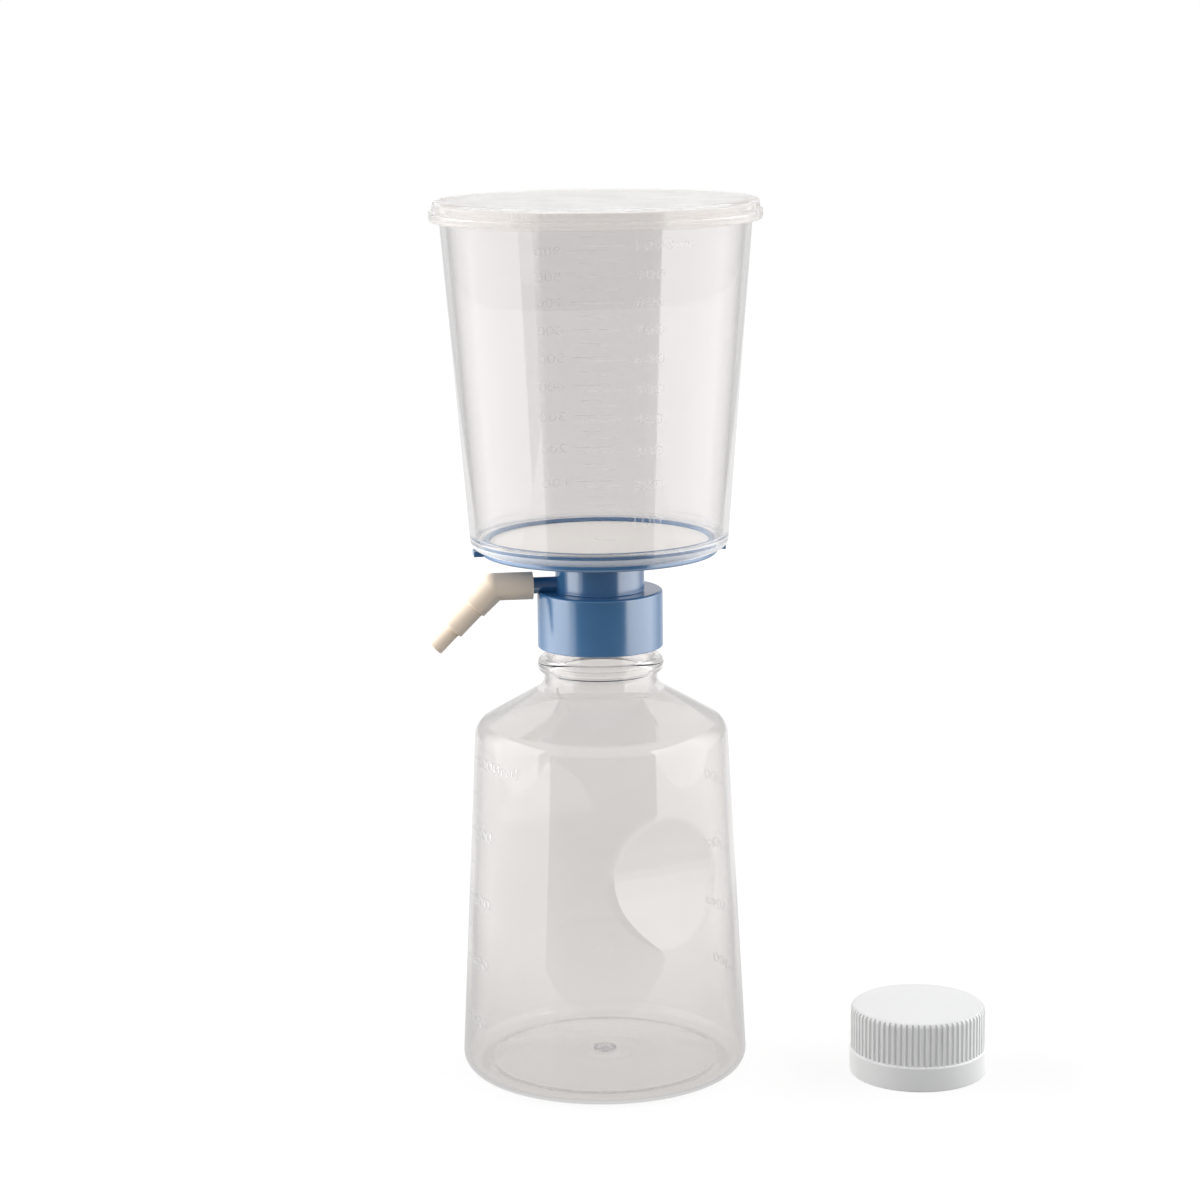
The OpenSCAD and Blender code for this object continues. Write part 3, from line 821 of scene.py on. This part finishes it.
def makeWorld():
    world = bpy.data.worlds.new("studio")
    bpy.context.scene.world = world
    world.use_nodes = True
    tree = world.node_tree
    tree.nodes.clear()
    fill, backdrop, mix, out = newNodes(tree, "Background", "Background", "MixShader", "OutputWorld")
    fill.inputs["Color"].default_value = backdrop.inputs["Color"].default_value = (1, 1, 1, 1)
    fill.inputs["Strength"].default_value = stageSettings["fill"]
    backdrop.inputs["Strength"].default_value = 1
    tree.links.new(seenRays(tree), mix.inputs["Fac"])
    tree.links.new(fill.outputs[0], mix.inputs[1])
    tree.links.new(backdrop.outputs[0], mix.inputs[2])
    tree.links.new(mix.outputs[0], out.inputs["Surface"])


lightSettings = {
    "leftBox": (-0.7, (-0.455, 0.8), (0, 0.75), 4.5),  # how far right, its depths, its heights, its radiance
    "rightBox": (0.7, (-0.676, 0.8), (0, 0.75), 2.4),
    "topBox": (1.5, 1.4, 0.3),  # height, size, radiance
    "frontBox": (1.7, 1.1, 1.2, 1.0, 0.2),  # distance, height, size, radiance, height that it faces
}


def turned(spot):
    # a spot given as right, away and up from the camera's side
    return Matrix.Rotation(math.radians(cameraSettings["turn"]), 4, "Z") @ Vector(spot)


def areaLamp(name, width, height, radiance, spot, aim):
    # a lamp that only lights surfaces: neither the camera nor a reflection sees it
    clearSelection()
    bpy.ops.object.light_add(type="AREA")
    lamp = bpy.context.object
    lamp.name = name
    lamp.data.shape = "RECTANGLE"
    lamp.data.size = width
    lamp.data.size_y = height
    lamp.data.energy = radiance * math.pi * width * height
    lamp.location = turned(spot)
    lamp.rotation_euler = turned(aim).to_track_quat("-Z", "Y").to_euler()
    lamp.visible_camera = lamp.visible_glossy = lamp.visible_transmission = False


def makeLamps():
    # a lit wall on each side, a weak light overhead, and a soft one over the camera
    for name in ("leftBox", "rightBox"):
        right, depth, height, radiance = lightSettings[name]
        middle = (right, sum(depth) / 2, sum(height) / 2)
        areaLamp(name, depth[1] - depth[0], height[1] - height[0], radiance, middle, (-right, 0, 0))
    high, size, radiance = lightSettings["topBox"]
    areaLamp("topBox", size, size, radiance, (0, 0, high), (0, 0, -1))
    away, high, size, radiance, faced = lightSettings["frontBox"]
    areaLamp("frontBox", size, size, radiance, (0, -away, high), (0, away, faced - high))


# what reflections see, in camera directions: a card's four levels are its glow off a surface, from one end to
# the other, and then the same through clear plastic
cardSettings = {
    "shine": (0.72, 3.4, 0.64, 1.9),  # the side boxes
    "floor": (0.9, 2.3, 0.8, 1.45),
    "dark": (0.18, 1.0, 0.4, 1.0),  # the flag on the camera's side
    "frontFloor": (0.18, 1.2, 0.36, 1.0),
    "high": (3.4, 3.4, 3.1, 3.1),
    "fade": (41, 74),  # the angles from the back between which the side boxes and the floor brighten
    "back": 5,  # how far back they reach
    "lift": 0.001,  # of the floor's card, and twice that for the dark floor's
    "flag": (-0.62, 1.0),  # distance and height
    "flagFade": (0.3, 0.5),  # the heights between which it brightens
    "darkFloor": (-0.62, -0.2),  # far and near edge
    "sector": (-46, 48),  # the angles that the flag and the dark floor fill
    "highPatch": (50, 67, 0.6, 0.335, 0.6),  # its two angles, distance, low and top edge
    # a shade near the unit or low down: where it starts and ends, its strength, and the least glow
    "near": ("near", 0.08, 0.32, 0.3, 0.7),
    "low": ("low", 0, 0.12, 0.85, 0.5),
}


def shadeGlow(tree, glow, where, height, shade):
    # dims a card's glow near the unit or low down
    kind, start, end, strength, least = shade
    far, ramp = newNodes(tree, "VectorMath", "MapRange")
    both, floor = newMath(tree, "MULTIPLY"), newMath(tree, "MAXIMUM", least)
    far.operation = "LENGTH"
    setRange(ramp, (start, end), (strength, 1))
    tree.links.new(where.outputs["Object"], far.inputs[0])
    tree.links.new(far.outputs["Value"] if kind == "near" else height, ramp.inputs["Value"])
    tree.links.new(glow, both.inputs[0])
    tree.links.new(ramp.outputs["Result"], both.inputs[1])
    tree.links.new(both.outputs[0], floor.inputs[0])
    return floor.outputs[0]


def cardGlow(name, levels, span, shade):
    # glows only to reflections, turning from one level to the other along the card's span or round the unit
    material, tree = newMaterial(name)
    links = tree.links
    path, where, back, split = newNodes(tree, "LightPath", "TexCoord", "Mapping", "SeparateXYZ")
    bare, clear, pick = newNodes(tree, "MapRange", "MapRange", "MapRange")
    glow, gap, mix, out = newNodes(tree, "Emission", "BsdfTransparent", "MixShader", "OutputMaterial")
    side, angle = newMath(tree, "ABSOLUTE"), newMath(tree, "ARCTAN2")
    beside = newMath(tree, "SUBTRACT", bottleSizes["baseR"] * mm)
    beside.use_clamp = True
    if not span:
        back.inputs["Rotation"].default_value = (0, 0, -math.radians(cameraSettings["turn"]))
    links.new(where.outputs["UV" if span else "Object"], back.inputs["Vector"])
    links.new(back.outputs[0], split.inputs[0])
    links.new(split.outputs["X"], side.inputs[0])
    links.new(side.outputs[0], beside.inputs[0])
    links.new(beside.outputs[0], angle.inputs[0])
    links.new(split.outputs["Y"], angle.inputs[1])
    ends = span or [math.radians(a) for a in cardSettings["fade"]]
    for fade, pair in ((bare, levels[:2]), (clear, levels[2:])):
        setRange(fade, ends, pair)
        links.new(split.outputs["Y"] if span else angle.outputs[0], fade.inputs["Value"])
    links.new(path.outputs["Transmission Depth"], pick.inputs["Value"])
    links.new(bare.outputs["Result"], pick.inputs["To Min"])
    links.new(clear.outputs["Result"], pick.inputs["To Max"])
    strength = pick.outputs["Result"]
    if shade:
        strength = shadeGlow(tree, strength, where, split.outputs["Z"], shade)
    links.new(strength, glow.inputs["Strength"])
    links.new(path.outputs["Glossy Depth"], mix.inputs["Fac"])
    links.new(gap.outputs[0], mix.inputs[1])
    links.new(glow.outputs[0], mix.inputs[2])
    links.new(mix.outputs[0], out.inputs["Surface"])
    material.cycles.emission_sampling = "NONE"
    return material


def reflector(name, corners, levels, span=None, shade=None):
    # a card that only reflections see, its corners in camera directions
    clearSelection()
    bpy.ops.mesh.primitive_plane_add(size=1)
    card = bpy.context.object
    card.name = name
    for point, corner in zip(card.data.vertices, (corners[0], corners[1], corners[3], corners[2])):
        point.co = turned(corner)
    card.visible_camera = card.visible_diffuse = card.visible_shadow = False
    card.data.materials.append(cardGlow(name + "Glow", levels, span, shade))


def makeReflectors():
    # the camera's side is dark, and the floor beside the unit is nearly as bright as the boxes
    c = cardSettings
    lift = c["lift"]
    left, right = (math.tan(math.radians(a)) for a in c["sector"])
    away, high = c["flag"]
    corners = [(-away * left, away, 0), (-away * right, away, 0),
               (-away * right, away, high), (-away * left, away, high)]
    reflector("darkFlag", corners, c["dark"], [z / high for z in c["flagFade"]])
    far, near = c["darkFloor"]
    corners = [(-far * left, far, 2 * lift), (-far * right, far, 2 * lift),
               (-near * right, near, 2 * lift), (-near * left, near, 2 * lift)]
    reflector("darkFloor", corners, c["frontFloor"], (0, 1))
    start, end, reach, low, top = c["highPatch"]
    turns = (math.radians(start), math.radians(end))
    first, last = ((math.sin(a) * reach, -math.cos(a) * reach) for a in turns)
    corners = [(*first, low), (*last, low), (*last, top), (*first, top)]
    reflector("highPatch", corners, c["high"], (0, 1))
    for name in ("leftBox", "rightBox"):
        side, (front, _), (low, top), _ = lightSettings[name]
        corners = [(side, front, low), (side, front, top), (side, c["back"], top), (side, c["back"], low)]
        reflector(name + "Card", corners, c["shine"], shade=c["low"])
    out = abs(lightSettings["leftBox"][0])
    corners = [(-out, -out, lift), (out, -out, lift), (out, c["back"], lift), (-out, c["back"], lift)]
    reflector("whiteFloor", corners, c["floor"], shade=c["near"])


# angles in degrees, and the turn is round the unit from its front
cameraSettings = {
    "turn": -7.3, "far": 1.177, "high": 0.4155, "pitch": 79, "roll": -0.64, "lens": 93, "sensor": 36,
    "clip": (0.05, 20),
}


def makeCamera():
    shot = cameraSettings
    turn = math.radians(shot["turn"])
    bpy.ops.object.camera_add()
    camera = bpy.context.object
    camera.data.lens = shot["lens"]
    camera.data.sensor_width = shot["sensor"]
    camera.data.clip_start, camera.data.clip_end = shot["clip"]
    spot = Vector((math.sin(turn) * shot["far"], -math.cos(turn) * shot["far"], shot["high"]))
    camera.matrix_world = (Matrix.Translation(spot) @ Matrix.Rotation(turn, 4, "Z")
                           @ Matrix.Rotation(math.radians(shot["pitch"]), 4, "X")
                           @ Matrix.Rotation(math.radians(shot["roll"]), 4, "Z"))
    bpy.context.scene.camera = camera


makeStage()
makeWorld()
makeLamps()
print("stage and lamps ready")
makeReflectors()
makeCamera()
print("reflections and camera ready")
bpy.context.scene.view_settings.view_transform = "Standard"
